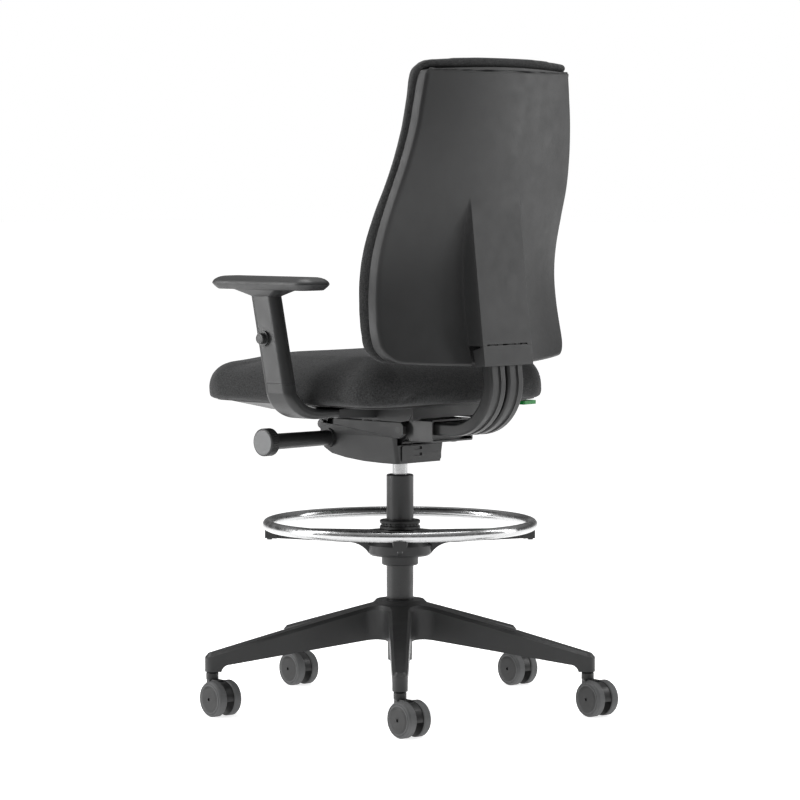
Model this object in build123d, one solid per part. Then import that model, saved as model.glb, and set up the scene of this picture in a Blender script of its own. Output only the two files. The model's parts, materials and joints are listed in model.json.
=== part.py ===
from build123d import *
import math
import os

# Drafting chair. Millimetres, +Z up. The origin is on the floor, under the centre of the column.
# A sitter faces -Y, so +X is on the sitter's left and +Y is behind the back.

# ---- driving dimensions -------------------------------------------------------------------------
ARM_COUNT = 5
ARM_STEP = 360 / ARM_COUNT
BASE_YAW = 43.0                 # direction of the first base arm, from +X

# castors
STEM_CIRCLE = 360.0             # radius on which the castor stems stand
WHEEL_R = 32.5
WHEEL_INNER = 8.3               # half the gap between the twin wheels
WHEEL_OUTER = 26.6
CASTOR_TRAIL = 25.0
CASTOR_YAW = 82.6               # direction in which every castor trails at rest
STEM_R = 5.5
CASTOR_AXLE_R = 3.0
SOCKET_BOTTOM = 79.0
SOCKET_R = 13.5

# star base and column
HUB_TOP = 199.0
COLUMN_R = 25.0
COLUMN_FOOT_R = 22.5
COLUMN_BOTTOM = 86.0
COLUMN_TOP = 431.0
LIFT_R = 14.0                   # moving cylinder of the gas lift
ROD_R = 5.0
RUN_GAP = 0.05                  # radial clearance of a running fit

# foot ring
RING_R = 244.5
RING_TUBE_R = 10.0
RING_Z = 338.5
RING_HUB_R = 58.5
RING_ARMS = 4

# mechanism
MAIN_AXLE = (58.0, 519.0)       # Y, Z of the axle that the back reclines about
FRONT_AXLE = (-150.0, 520.0)    # Y, Z of the axle that the seat tilts about
AXLE_R = 6.0
FRONT_AXLE_R = 5.0
HOUSING_HALF = 69.0
CRANK_Y = -117.0
CRANK_Z = 496.4
CRANK_R = 14.0
LEVER_X = -78.0
LEVER_Y = -112.0
LEVER_Z = 500.0

# back carrier: two bent bars that carry the backrest
BRACKET_HALF = 55.0
BRACKET_REAR = 131.0
BAR_INNER = 3.0
BAR_WIDTH = 41.5
BAR_THICK = 23.0
BAR_Z = 522.5                   # centre line of the level run
BAR_BEND_Y = 167.1
BAR_BEND_R = 86.5
BAR_TOP_Z = 800.0
LEAN = 6.7                      # degrees that the uprights and the spine lean forward

# backrest
BACK_BOTTOM = 641.0
BACK_TOP = 1174.0
SHELL_WALL = 3.5
RIM_DEPTH = 22.0
PAD_DEPTH = 54.0                # from the back of the shell to the front of the cushion
SPINE_HALF = 68.0
SPINE_BOTTOM_Y = 266.5          # rear face of the spine cover at its lower edge
SPINE_WALL = 3.0
SPINE_SPLIT = 679.0

# seat
SEAT_HALF = 240.0
SEAT_FRONT = -292.0
SEAT_REAR = 171.0
SEAT_CORNER = 70.0
SEAT_BOTTOM = 569.0
SEAT_TOP = 652.0
CARRIER_HALF = 112.0
CARRIER_REAR = 136.0
CARRIER_TOP = 565.0
CARRIER_PLATE = 3.5

# armrests
ARM_X = 299.0
ARM_LEAN = 12.3                 # degrees that the posts lean forward
ARM_REF = (-7.6, 580.0)         # Y, Z of a point on the post's centre line
POST_LONG = 62.0
POST_THICK = 30.0
SLEEVE_BOTTOM = 611.0
PAD_Y = (-162.0, 86.0)
PAD_HALF = 40.5
PAD_Z = (778.0, 802.0)

# seat depth lever
DEPTH_PIN = (-165.0, 558.0)     # X, Z of its pivot


# ---- helpers ------------------------------------------------------------------------------------
def save(shape, node):
    export_step(shape, f"parts/{node}.step")


def block(x, y, z):
    """A box from three (low, high) pairs."""
    centre = Pos((x[0] + x[1]) / 2, (y[0] + y[1]) / 2, (z[0] + z[1]) / 2)
    return centre * Box(x[1] - x[0], y[1] - y[0], z[1] - z[0])


def rod_z(radius, z0, z1, x=0.0, y=0.0):
    return Pos(x, y, (z0 + z1) / 2) * Cylinder(radius, z1 - z0)


def rod_x(radius, x0, x1, y, z):
    return Pos((x0 + x1) / 2, y, z) * Rot(0, 90, 0) * Cylinder(radius, x1 - x0)


def rod_y(radius, y0, y1, x, z):
    return Pos(x, (y0 + y1) / 2, z) * Rot(90, 0, 0) * Cylinder(radius, y1 - y0)


def side_slab(points, x0, x1):
    """A polygon of (Y, Z) points, drawn out along X."""
    face = Plane.YZ * make_face(Polyline(*points, close=True))
    return Pos(x0, 0, 0) * extrude(face, amount=x1 - x0)


def turned(points):
    """A polygon of (radius, Z) points, turned about the Z axis."""
    return revolve(Plane.XZ * make_face(Polyline(*points, close=True)), Axis.Z)


def around(shape, count=ARM_COUNT):
    """Copies of a shape drawn along +X, one for each arm, from the first base arm round."""
    return [Rot(0, 0, BASE_YAW + 360 / count * k) * shape for k in range(count)]


def mirrored(shape):
    return mirror(shape, Plane.YZ)


def lean_point(z):
    """Y of the centre line of an armrest post at height z."""
    return ARM_REF[0] - (z - ARM_REF[1]) * math.tan(math.radians(ARM_LEAN))


# ---- star base ----------------------------------------------------------------------------------
ARM_ROOT_HALF = 22.5
ARM_BEVEL = 5.5
BASE_WALL = 4.5


def arm_plan(inset=0.0):
    root = ARM_ROOT_HALF - inset
    tip = SOCKET_R - inset
    strip = make_face(Polyline((0, -root), (STEM_CIRCLE, -tip), (STEM_CIRCLE, tip), (0, root), close=True))
    return strip + Pos(STEM_CIRCLE, 0) * Circle(tip)


def arm_section():
    """Half of the base's side view: radius outwards, Z up."""
    tip = STEM_CIRCLE + SOCKET_R + 1
    outline = Polyline((0, 128), (60, 128.5), (330, 91.5)).edges()
    outline += [ThreePointArc((330, 91.5), (341.5, 87.5), (346.5, SOCKET_BOTTOM))]
    outline += Polyline((346.5, SOCKET_BOTTOM), (tip, SOCKET_BOTTOM), (tip, 110.5)).edges()
    outline += Polyline((tip, 110.5), (51, 192), (44, HUB_TOP), (0, HUB_TOP), (0, 128)).edges()
    return make_face(Wire(outline))


def star_base():
    plan = Sketch() + around(arm_plan())
    notches = [v for v in plan.vertices() if Vector(v.X, v.Y, 0).length < 60]
    plan = fillet(notches, 34)
    solid = extrude(plan, amount=260) & revolve(Plane.XZ * arm_section(), Axis.Z)
    cone = [f for f in solid.faces() if f.center().Z > 130 and f.normal_at().Z > 0.9]
    roof_face = max(cone, key=lambda f: f.area)
    lips = [e for e in roof_face.edges() if Vector(e.center().X, e.center().Y, 0).length > 56]
    solid = chamfer(lips, ARM_BEVEL)
    roof = [(78, 70), (325, 70), (325, 113), (78, 176)]
    channel = extrude(arm_plan(BASE_WALL), amount=260)
    channel &= turned(roof)
    for radius in (140, 200, 260):
        channel -= block((radius - 1.6, radius + 1.6), (-30, 30), (60, 200))
    solid -= around(channel)
    solid -= column_cone()
    solid -= around(rod_z(STEM_R, 60, 106, STEM_CIRCLE))
    return solid


def column_cone():
    """The tapered outside of the column's foot, up to above the hub."""
    return turned([(0, COLUMN_BOTTOM), (COLUMN_FOOT_R, COLUMN_BOTTOM), (COLUMN_R, HUB_TOP + 9), (COLUMN_R, 240),
                   (0, 240)])


# ---- column and gas lift ------------------------------------------------------------------------
BUSH_BOTTOM = 371.0
TUBE_BORE = 20.5
PLATE_TOP = 92.0
CYLINDER_BOTTOM = 125.0
CYLINDER_TOP = 520.0
CYLINDER_BORE = 12.0
PISTON_Z = (345.0, 355.0)


def column_tube():
    tube = column_cone()
    tube += rod_z(COLUMN_R, 239, COLUMN_TOP)
    tube = fillet(tube.edges().group_by(Axis.Z)[-1], 3)
    tube -= rod_z(TUBE_BORE, PLATE_TOP, COLUMN_TOP + 1)
    tube -= rod_z(ROD_R + RUN_GAP, COLUMN_BOTTOM - 1, PLATE_TOP + 1)
    return tube


def guide_bush():
    bush = rod_z(TUBE_BORE, BUSH_BOTTOM, COLUMN_TOP - 1.5)
    return bush - rod_z(LIFT_R + RUN_GAP, BUSH_BOTTOM - 1, COLUMN_TOP)


def thrust_bearing():
    ring = rod_z(12, PLATE_TOP, PLATE_TOP + 5)
    return ring - rod_z(ROD_R + RUN_GAP, PLATE_TOP - 1, PLATE_TOP + 6)


def piston_rod():
    rod = rod_z(ROD_R, 80, PISTON_Z[1])
    rod += rod_z(9, PLATE_TOP + 5.3, PLATE_TOP + 8.5)
    rod += rod_z(CYLINDER_BORE - RUN_GAP, PISTON_Z[0], PISTON_Z[1])
    return rod - retaining_clip_groove()


def retaining_clip_groove():
    return rod_z(ROD_R + 1, 83.4, 85.4) - rod_z(ROD_R - 1.2, 83, 86)


def retaining_clip():
    return rod_z(9.5, 83.4, 85.4) - rod_z(ROD_R - 1.2, 83, 86)


def gas_cylinder():
    shell = rod_z(LIFT_R, CYLINDER_BOTTOM, CYLINDER_TOP)
    shell = fillet(shell.edges().group_by(Axis.Z)[-1], 2)
    shell -= rod_z(CYLINDER_BORE, CYLINDER_BOTTOM + 6, CYLINDER_TOP - 5)
    shell -= rod_z(ROD_R + RUN_GAP, CYLINDER_BOTTOM - 1, CYLINDER_BOTTOM + 7)
    return shell + rod_z(4, CYLINDER_TOP - 0.5, CYLINDER_TOP + 7)


# ---- castors ------------------------------------------------------------------------------------
HOOD_HALF = 7.6
HOOD_R = 30.0
NECK_R = 11.5


def castor_place(k):
    angle = math.radians(BASE_YAW + ARM_STEP * k)
    return Pos(STEM_CIRCLE * math.cos(angle), STEM_CIRCLE * math.sin(angle), 0) * Rot(0, 0, CASTOR_YAW)


def castor_stems():
    stem = rod_z(STEM_R, 52, 105.5)
    return Compound([castor_place(k) * stem for k in range(ARM_COUNT)])


def castor_hood():
    drum = rod_y(HOOD_R, -HOOD_HALF, HOOD_HALF, CASTOR_TRAIL, WHEEL_R)
    hood = drum & block((-20, 60), (-HOOD_HALF, HOOD_HALF), (WHEEL_R - 3, 70))
    hood += block((-7.5, 24), (-HOOD_HALF, HOOD_HALF), (WHEEL_R + 4, 65.6))
    neck = turned([(0, 60), (HOOD_HALF, 60), (NECK_R, 65.6), (NECK_R, 76), (NECK_R - 1.5, 78.5), (0, 78.5)])
    hood += neck
    hood -= rod_z(STEM_R + RUN_GAP, 51, 80)
    hood -= rod_y(CASTOR_AXLE_R + RUN_GAP, -20, 20, CASTOR_TRAIL, WHEEL_R)
    return hood


def castor_wheels():
    rim = [
        (CASTOR_AXLE_R, WHEEL_INNER), (30.8, WHEEL_INNER), (WHEEL_R, WHEEL_INNER + 1.8),
        (WHEEL_R, 21.4), (31.0, 23.6), (30.4, 24.6), (28.6, 25.2), (28.0, 24.4),
        (27.2, 24.4), (26.6, 25.4), (20.0, WHEEL_OUTER), (CASTOR_AXLE_R, WHEEL_OUTER + 0.3),
    ]
    wheel = revolve(make_face(Polyline(*rim, close=True)), Axis.Y)
    axle = Rot(90, 0, 0) * Cylinder(CASTOR_AXLE_R, 2 * WHEEL_OUTER - 4)
    pair = [wheel, mirror(wheel, Plane.XZ), axle]
    return Compound([Pos(CASTOR_TRAIL, 0, WHEEL_R) * piece for piece in pair])


# ---- foot ring ----------------------------------------------------------------------------------
RING_BUSH_R = 28.0
SCREW_R = 2.5


def ring_screw():
    head = rod_z(5, 309.5, 314.5, RING_R - 3)
    shank = rod_z(SCREW_R, 314.4, RING_Z - 4, RING_R - 3)
    return head + shank


def foot_ring():
    return revolve(Plane.XZ * Pos(RING_R, RING_Z) * Circle(RING_TUBE_R), Axis.Z)


def spider_web():
    """Side view of a spider arm's rib: radius outwards, Z up."""
    edge = Polyline((0, 281), (RING_HUB_R - 4, 281), (RING_HUB_R, 285)).edges()
    edge += [ThreePointArc((RING_HUB_R, 285), (74, 299), (100, 304.5))]
    edge += Polyline((100, 304.5), (140, 307.5), (250, 313), (250, 335), (231, 335)).edges()
    edge += Polyline((231, 335), (227, 330), (60, 327), (38, 329), (0, 329), (0, 281)).edges()
    return revolve(Plane.XZ * make_face(Wire(edge)), Axis.Z)


def spider_plan(root, tip, end):
    strip = make_face(Polyline((0, -root), (end, -tip), (end, tip), (0, root), close=True))
    return Sketch() + around(strip, RING_ARMS)


def ring_spider():
    ribs = extrude(spider_plan(4.5, 4.0, 236), amount=400)
    flange = extrude(spider_plan(17, 12, 262), amount=400) & block((-300, 300), (-300, 300), (320, 340))
    foot = Pos(240, 0, 324) * Box(24, 24, 30)
    arms = (ribs + flange + around(foot, RING_ARMS)) & spider_web()
    hub = turned([(0, 263), (32, 263), (34, 265), (34, 280), (54, 281), (RING_HUB_R, 285),
                  (RING_HUB_R, 300), (52, 308), (38, 320), (36, 328), (34, 329.5), (0, 329.5)])
    spider = arms + hub
    spider -= foot_ring()
    spider -= rod_z(RING_BUSH_R, 262, 300)
    spider -= rod_z(COLUMN_R + 2 * RUN_GAP, 260, 340)
    for screw in around(ring_screw(), RING_ARMS):
        spider -= screw
    return spider


def ring_bush():
    sleeve = rod_z(RING_BUSH_R, 263, 300)
    return sleeve - rod_z(COLUMN_R + RUN_GAP, 262, 301)


def ring_collar():
    """Twist collar that locks the foot ring on the column."""
    profile = [(30, 330.5), (37.5, 330.5), (37.5, 335), (35, 336), (35, 340), (37.5, 341), (37.5, 345), (36, 346.5),
               (30, 346.5)]
    collar = turned(profile) + (rod_z(31, 330.5, 346.5))
    collar -= rod_z(COLUMN_R + RUN_GAP, 329, 348)
    grip = rod_z(1.6, 336, 340, 35.2)
    for k in range(24):
        collar -= Rot(0, 0, 15 * k) * grip
    return collar


# ---- mechanism ----------------------------------------------------------------------------------
FRAME_HALF = 42.0
FRAME_PLATE = 4.0
HOUSING_WALL = 3.0
SOCKET_OUTER = 21.0


def mech_frame():
    """Welded steel frame that holds both axles and the socket of the gas lift."""
    y0, z0 = FRONT_AXLE
    y1, z1 = MAIN_AXLE
    outline = [(y0 + 4, 507), (-70, 490), (38, 490), (y1, 506.5), (y1, 531.5), (y0, 532)]
    cheek = side_slab(outline, FRAME_HALF - FRAME_PLATE, FRAME_HALF)
    cheek += rod_x(13, FRAME_HALF - FRAME_PLATE, FRAME_HALF, y0, z0)
    cheek += rod_x(12.5, FRAME_HALF - FRAME_PLATE, FRAME_HALF, y1, z1)
    frame = cheek + mirrored(cheek)
    inside = (-FRAME_HALF + 0.5, FRAME_HALF - 0.5)
    frame += block(inside, (-70, 38), (490, 494))
    frame += block(inside, (-104, -100), (497, 530))
    frame += rod_z(SOCKET_OUTER, 478, 514)
    frame -= rod_z(LIFT_R, 470, 530)
    frame -= rod_x(AXLE_R, -80, 80, y1, z1)
    frame -= rod_x(FRONT_AXLE_R, -80, 80, y0, z0)
    return frame


def housing_side(inset):
    """Side view of the lower housing, with its curved belly."""
    i = inset
    return [(-138 + i, 488), (-133 + i, 478 + i), (-115, 467.5 + i), (-80, 461 + i), (-35, 456.5 + i),
            (10, 455 + i), (50 - i, 455 + i), (50 - i, 503), (-85, 520), (-138 + i, 524)]


def tapered_housing(half_low, half_high, y, z_low, z_high):
    low = Plane.XY.offset(z_low) * Rectangle(2 * half_low, y[1] - y[0])
    high = Plane.XY.offset(z_high) * Rectangle(2 * half_high, y[1] - y[0])
    body = loft([low, high])
    return Pos(0, (y[0] + y[1]) / 2, 0) * body


def lower_housing():
    outer = side_slab(housing_side(0), -90, 90)
    outer &= tapered_housing(60, HOUSING_HALF, (-200, 200), 455, 505) + block(
        (-HOUSING_HALF, HOUSING_HALF), (-200, 200), (504.9, 560))
    rear_corners = outer.edges().filter_by(lambda e: e.bounding_box().min.Y > 49.9 and e.bounding_box().size.Z > 30)
    outer = fillet(rear_corners, 7)
    inner = side_slab([(y, z + 30 if z > 500 else z) for y, z in housing_side(HOUSING_WALL)], -90, 90)
    inner &= tapered_housing(57, HOUSING_HALF - HOUSING_WALL, (-200, 200), 455, 505) + block(
        (-HOUSING_HALF + HOUSING_WALL, HOUSING_HALF - HOUSING_WALL), (-200, 200), (504.9, 560))
    shell = outer - inner
    # the rear wall is lower, so that the back carrier can swing down over it
    shell -= block((-61, 61), (40, 60), (489, 530))
    # the frame's front lugs come out through the front wall
    shell -= block((-56, 56), (-140, -133), (500, 530))
    shell -= rod_z(LIFT_R + 1.5, 440, 500)
    boss = rod_x(CRANK_R + 3.5, HOUSING_HALF - 6, HOUSING_HALF + 4, CRANK_Y, CRANK_Z)
    shell += boss
    shell -= rod_x(CRANK_R + RUN_GAP, 50, 90, CRANK_Y, CRANK_Z)
    for y in (LEVER_Y - 11.5, LEVER_Y + 8.5):
        shell += block((LEVER_X - 6, -HOUSING_HALF + 1), (y, y + 3), (LEVER_Z - 7, LEVER_Z + 7))
    shell -= rod_y(2.5, LEVER_Y - 14, LEVER_Y + 14, LEVER_X, LEVER_Z)
    return shell


def upper_side(inset):
    i = inset
    return [(-106 + i, 523.1), (-85, 520.4), (50, 503.4), (60, 503.4), (72 - i, 512), (72 - i, 526), (64, 535 - i),
            (-92, 535 - i), (-103 + i, 530 - i)]


def upper_housing():
    half = HOUSING_HALF
    outer = side_slab(upper_side(0), -half, half)
    long_edges = outer.edges().filter_by(Axis.Y).group_by(Axis.Z)[-1]
    outer = fillet(long_edges, 4)
    floor = [(-106 + 3, 500), (90, 480), (90, 532), (-96, 532), (-101, 527)]
    outer -= side_slab(floor, -half + 9, half - 9)
    outer -= side_slab(floor, -half + HOUSING_WALL, half - HOUSING_WALL) & block((-90, 90), (-110, 30), (480, 560))
    # the frame passes out through the front
    outer -= block((-46, 46), (-112, -90), (500, 533))
    outer -= rod_x(AXLE_R, -90, 90, *MAIN_AXLE)
    return outer


def rear_cover():
    plate = block((-56, 50), (50, 52.2), (459.5, 487.5))
    corners = plate.edges().filter_by(Axis.Y)
    plate = fillet(corners, 3)
    for z in (471, 482.5):
        plate -= block((-3, 18), (49, 54), (z - 2.8, z + 2.8))
    plate -= block((-46, -6), (51.6, 54), (473, 473.8))
    return plate


def tension_spring():
    """Compression spring that carries the back, lying along Y in the frame."""
    pitch = 9.0
    path = Helix(pitch=pitch, height=60, radius=14)
    wire = Plane(origin=path @ 0, z_dir=path % 0) * Circle(2.4)
    coil = sweep(wire, path=path, is_frenet=True)
    return Pos(0, -34, 512) * Rot(90, 0, 0) * coil


def main_axle():
    return rod_x(AXLE_R, -HOUSING_HALF, HOUSING_HALF, *MAIN_AXLE)


def front_axle():
    pin = rod_x(FRONT_AXLE_R, -54, 54, *FRONT_AXLE)
    for x in (-56.5, 53.5):
        pin += rod_x(8, x, x + 3, *FRONT_AXLE)
    return pin


def lever_pin():
    return rod_y(2.5, LEVER_Y - 12.5, LEVER_Y + 12.5, LEVER_X, LEVER_Z)


# ---- tension crank and height lever -------------------------------------------------------------
KNOB_X = (221.0, 241.0)
KNOB_R = 25.5


def crank_shaft():
    x0 = 50.0
    shaft = rod_x(CRANK_R, x0, 76, CRANK_Y, CRANK_Z)
    handle = Pos((76 + KNOB_X[0]) / 2, CRANK_Y, CRANK_Z) * Rot(0, 90, 0) * Cone(
        CRANK_R, CRANK_R + 0.8, KNOB_X[0] - 76)
    return shaft + handle


def crank_knob():
    x0, x1 = KNOB_X
    knob = rod_x(KNOB_R, x0, x1, CRANK_Y, CRANK_Z)
    rims = knob.edges().filter_by(GeomType.CIRCLE)
    knob = fillet(rims, 2.2)
    for k in range(36):
        turn = math.radians(10 * k)
        y = CRANK_Y + (KNOB_R + 0.5) * math.cos(turn)
        z = CRANK_Z + (KNOB_R + 0.5) * math.sin(turn)
        knob -= rod_x(1.1, x0 + 3, x1 - 3, y, z)
    return knob - rod_x(KNOB_R - 3, x1 - 2, x1 + 5, CRANK_Y, CRANK_Z)


def crank_disc():
    x1 = KNOB_X[1]
    disc = rod_x(KNOB_R - 3, x1 - 2, x1 + 1, CRANK_Y, CRANK_Z)
    return fillet(disc.edges().group_by(Axis.X)[-1], 0.8)


def height_lever():
    hub = rod_y(7, LEVER_Y - 8, LEVER_Y + 8, LEVER_X, LEVER_Z)
    stalk = rod_x(5, -190, LEVER_X, LEVER_Y, LEVER_Z)
    paddle = block((-246, -184), (LEVER_Y - 16, LEVER_Y + 16), (LEVER_Z - 5, LEVER_Z + 5))
    paddle = fillet(paddle.edges().filter_by(Axis.Z), 12)
    paddle = fillet(paddle.edges().filter_by(GeomType.LINE), 3)
    lever = hub + stalk + paddle
    return lever - rod_y(2.5 + RUN_GAP, LEVER_Y - 20, LEVER_Y + 20, LEVER_X, LEVER_Z)


# ---- back carrier -------------------------------------------------------------------------------
BRACKET_Z = (498.0, 539.0)
BRACKET_PLATE = 3.0
BRACKET_FRONT = 74.0


def back_bracket():
    y, z = MAIN_AXLE
    outer = block((-BRACKET_HALF, BRACKET_HALF), (BRACKET_FRONT, BRACKET_REAR), BRACKET_Z)
    outer = fillet(outer.edges().filter_by(Axis.Y), 3)
    hollow_z = (BRACKET_Z[0] + BRACKET_PLATE, BRACKET_Z[1] - BRACKET_PLATE)
    half = BRACKET_HALF - BRACKET_PLATE
    channel = outer - block((-half, half), (BRACKET_FRONT - 1, BRACKET_REAR + 1), hollow_z)
    join = BRACKET_FRONT + 6
    ear = side_slab([(y, z - 11.5), (join, z - 17), (join, z + 15), (y + 13, z + 12.3), (y, z + 11.5)], half,
                    BRACKET_HALF)
    ear += rod_x(11.5, half, BRACKET_HALF, y, z)
    channel += ear + mirrored(ear)
    channel += block((-44.5, 44.5), (BRACKET_FRONT + 6, 118), (hollow_z[0] - 0.5, BAR_Z - BAR_THICK / 2))
    channel -= rod_x(AXLE_R + RUN_GAP, -80, 80, y, z)
    for shaft in bolt_shafts():
        channel -= shaft
    return channel


def bolt_places():
    return [(x, y) for x in (-24, 24) for y in (90, 110)]


def bolt_shafts():
    return [rod_z(4, BRACKET_Z[0] - 1, BAR_Z - 2, x, y) for x, y in bolt_places()]


def bracket_bolts():
    bolts = []
    for x, y in bolt_places():
        head = Pos(x, y, BRACKET_Z[0] - 2.5) * extrude(RegularPolygon(7, 6), amount=2.5)
        bolts.append(head + rod_z(4, BRACKET_Z[0] - 1, BAR_Z - 2, x, y))
    return Compound(bolts)


def back_bar():
    """The sitter's left bar: a level run, a bend and an upright that leans forward."""
    turn = 90 + LEAN
    lean = math.radians(LEAN)
    bend_end = (BAR_BEND_Y + BAR_BEND_R * math.cos(lean), BAR_Z + BAR_BEND_R + BAR_BEND_R * math.sin(lean))
    rise = BAR_TOP_Z - bend_end[1]
    top = (bend_end[0] - rise * math.tan(lean), BAR_TOP_Z)
    path = Polyline((BRACKET_FRONT + 8, BAR_Z), (BAR_BEND_Y, BAR_Z)).edges()
    path += [CenterArc((BAR_BEND_Y, BAR_Z + BAR_BEND_R), BAR_BEND_R, -90, turn)]
    path += Polyline(bend_end, top).edges()
    route = Plane.YZ * Wire(path)
    middle = BAR_INNER + BAR_WIDTH / 2
    section = RectangleRounded(BAR_WIDTH, BAR_THICK, 5)
    section -= Pos(0, -BAR_THICK / 2) * RectangleRounded(11, 5, 1.5)
    start = Plane(origin=(middle, BRACKET_FRONT + 8, BAR_Z), x_dir=(1, 0, 0), z_dir=(0, -1, 0))
    bar = sweep(start * section, path=Pos(middle, 0, 0) * route)
    for shaft in bolt_shafts():
        bar -= shaft
    return bar


# ---- backrest -----------------------------------------------------------------------------------
# Height, Y of the shell's rear face at its middle, Y at its edge, half width of the cushion.
BACK_STATIONS = [
    (620, 252, 201, 246), (687, 237, 181, 251), (745, 229, 171, 248), (800, 225, 169, 244),
    (850, 225, 176, 241), (905, 231, 192, 237), (960, 241, 211, 231), (1015, 251, 226, 221.5),
    (1070, 258, 236, 212), (1130, 262, 241, 203), (1215, 265, 247, 190),
]
BLOCK_HALF = 285.0


def back_block(shift):
    """Everything in front of the shell's rear face, moved forward by shift."""
    sections = []
    for z, middle, edge, half in BACK_STATIONS:
        drop = (middle - edge) * (BLOCK_HALF / half) ** 2
        rear = ThreePointArc((-BLOCK_HALF, middle - drop), (0, middle), (BLOCK_HALF, middle - drop))
        front = Polyline((BLOCK_HALF, middle - drop), (BLOCK_HALF, 0), (-BLOCK_HALF, 0), (-BLOCK_HALF, middle - drop))
        sections.append(Plane.XY.offset(z) * make_face(Wire([rear] + front.edges())))
    return Pos(0, -shift, 0) * loft(sections)


def back_outline(inset, bottom, top, corner, top_corner):
    """The backrest seen from behind, drawn through Y."""
    sides = [(half - inset, z) for z, _, _, half in BACK_STATIONS if bottom + 20 < z < top - 20]
    low = (sides[0][0] - 2, bottom + 11)
    high = (sides[-1][0] - 11, top - 6)
    right = Spline([low] + sides + [high])
    left = Spline([(-x, z) for x, z in [low] + sides + [high]])
    base = ThreePointArc((-low[0], low[1]), (0, bottom), low)
    crown = ThreePointArc((-high[0], high[1]), (0, top), high)
    face = make_face(Wire([base, right, crown, left]))
    face = fillet(face.vertices().filter_by(lambda v: v.Y < bottom + 12), corner)
    face = fillet(face.vertices().filter_by(lambda v: v.Y > top - 12), top_corner)
    solid = extrude(Plane.XZ * face, amount=-400)
    return solid


def rim_cut():
    """Takes the shell's rim back to its rear face over the top corners."""
    z = BACK_TOP
    line = [(0, z - 26), (222.5, z - 26), (226, z - 14), (231, z - 5), (240, z + 1), (240, z + 30), (0, z + 30)]
    return side_slab(line, -300, 300)


def back_shell():
    outer = back_block(0) & back_outline(5, BACK_BOTTOM, BACK_TOP, 32, 4)
    outer -= back_block(RIM_DEPTH)
    outer -= rim_cut()
    inner = back_block(SHELL_WALL) & back_outline(5 + SHELL_WALL, BACK_BOTTOM + SHELL_WALL, BACK_TOP + 20, 29, 4)
    shell = outer - inner
    shell -= block((-50, 50), (150, 300), (600, BAR_TOP_Z + 14))
    return shell


def back_cushion():
    inside = back_block(SHELL_WALL + 0.5) - back_block(RIM_DEPTH + 0.5)
    core = inside & back_outline(6 + SHELL_WALL, BACK_BOTTOM + SHELL_WALL + 1, BACK_TOP + 2, 28, 6)
    outside = back_block(RIM_DEPTH + 0.5) - back_block(PAD_DEPTH)
    pad = outside & back_outline(1, BACK_BOTTOM + 9, BACK_TOP + 16, 34, 30)
    roll = back_block(1) - back_block(RIM_DEPTH)
    roll &= back_outline(1, BACK_BOTTOM + 9, BACK_TOP + 16, 34, 30)
    roll &= block((-300, 300), (0, 400), (BACK_TOP + 1, BACK_TOP + 40))
    cushion = core + pad + roll
    return cushion - block((-52, 52), (212, 300), (600, BAR_TOP_Z + 16))


def spine_prism(half, rear_shift, bottom):
    slope = math.tan(math.radians(LEAN))
    top_z = 990.0
    rear = SPINE_BOTTOM_Y - rear_shift
    profile = [(150, bottom), (rear - (bottom - 645) * slope, bottom), (rear - (top_z - 645) * slope, top_z),
               (150, top_z)]
    return side_slab(profile, -half, half)


def spine_body():
    body = spine_prism(SPINE_HALF + 3, 0, BACK_BOTTOM)
    rear_edges = body.edges().filter_by(lambda e: e.bounding_box().size.Z > 300).group_by(Axis.Y)[-1]
    body = chamfer(rear_edges, 5)
    body -= spine_prism(SPINE_HALF, SPINE_WALL, BACK_BOTTOM - 5)
    return body - back_block(0)


def spine_cover():
    return spine_body() & block((-100, 100), (150, 320), (SPINE_SPLIT + 0.6, 1000))


def spine_cap():
    return spine_body() & block((-100, 100), (150, 320), (600, SPINE_SPLIT - 0.6))


# ---- seat carrier and seat ----------------------------------------------------------------------
SIDE_WALL = 3.0
FOOT_Y = (-12.0, 46.0)
FOOT_Z = (543.0, 561.0)


def seat_carrier():
    """Pressed tray that tilts on the front axle and holds both armrests."""
    y0, z0 = FRONT_AXLE
    half = CARRIER_HALF
    top = block((-half, half), (-150, CARRIER_REAR), (CARRIER_TOP - CARRIER_PLATE, CARRIER_TOP))
    wall_line = [(-150, 556), (-140, 546), (-60, 540), (105, 537.5), (122, 541), (CARRIER_REAR, 556),
                 (CARRIER_REAR, CARRIER_TOP - 1), (-150, CARRIER_TOP - 1)]
    wall = side_slab(wall_line, half - SIDE_WALL, half)
    inner_wall = side_slab(wall_line, 76, 76 + SIDE_WALL)
    pocket = block((76, half), (FOOT_Y[0] - 4, FOOT_Y[1] + 4), (539, CARRIER_TOP - 1))
    ear = side_slab([(y0 - 9, z0), (y0 + 10, z0), (y0 + 26, 563), (y0 + 2, 563)], 46, 50)
    ear += rod_x(12, 46, 50, y0, z0)
    side = wall + inner_wall + pocket + ear
    lip = block((-half, half), (CARRIER_REAR - SIDE_WALL, CARRIER_REAR), (544, CARRIER_TOP - 1))
    tray = top + side + mirrored(side) + lip
    tray -= rod_x(FRONT_AXLE_R + RUN_GAP, -80, 80, y0, z0)
    cutter = block((76 + SIDE_WALL, half + 1), FOOT_Y, FOOT_Z)
    tray -= cutter
    tray -= mirrored(cutter)
    for shaft in arm_bolt_shafts():
        tray -= shaft
    return tray


def arm_bolt_places():
    return [(x, y) for x in (-96, 96) for y in (4, 30)]


def arm_bolt_shafts():
    return [rod_z(3.5, 536, FOOT_Z[1] - 2, x, y) for x, y in arm_bolt_places()]


def arm_bolts():
    bolts = []
    for x, y in arm_bolt_places():
        bolts.append(rod_z(3.5, 537, FOOT_Z[1] - 2, x, y) + rod_z(6.5, 535.5, 538.9, x, y))
    return Compound(bolts)


def rounded_plan(half, front, rear, corner):
    plan = Pos(0, (front + rear) / 2) * RectangleRounded(2 * half, rear - front, corner)
    return plan


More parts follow.
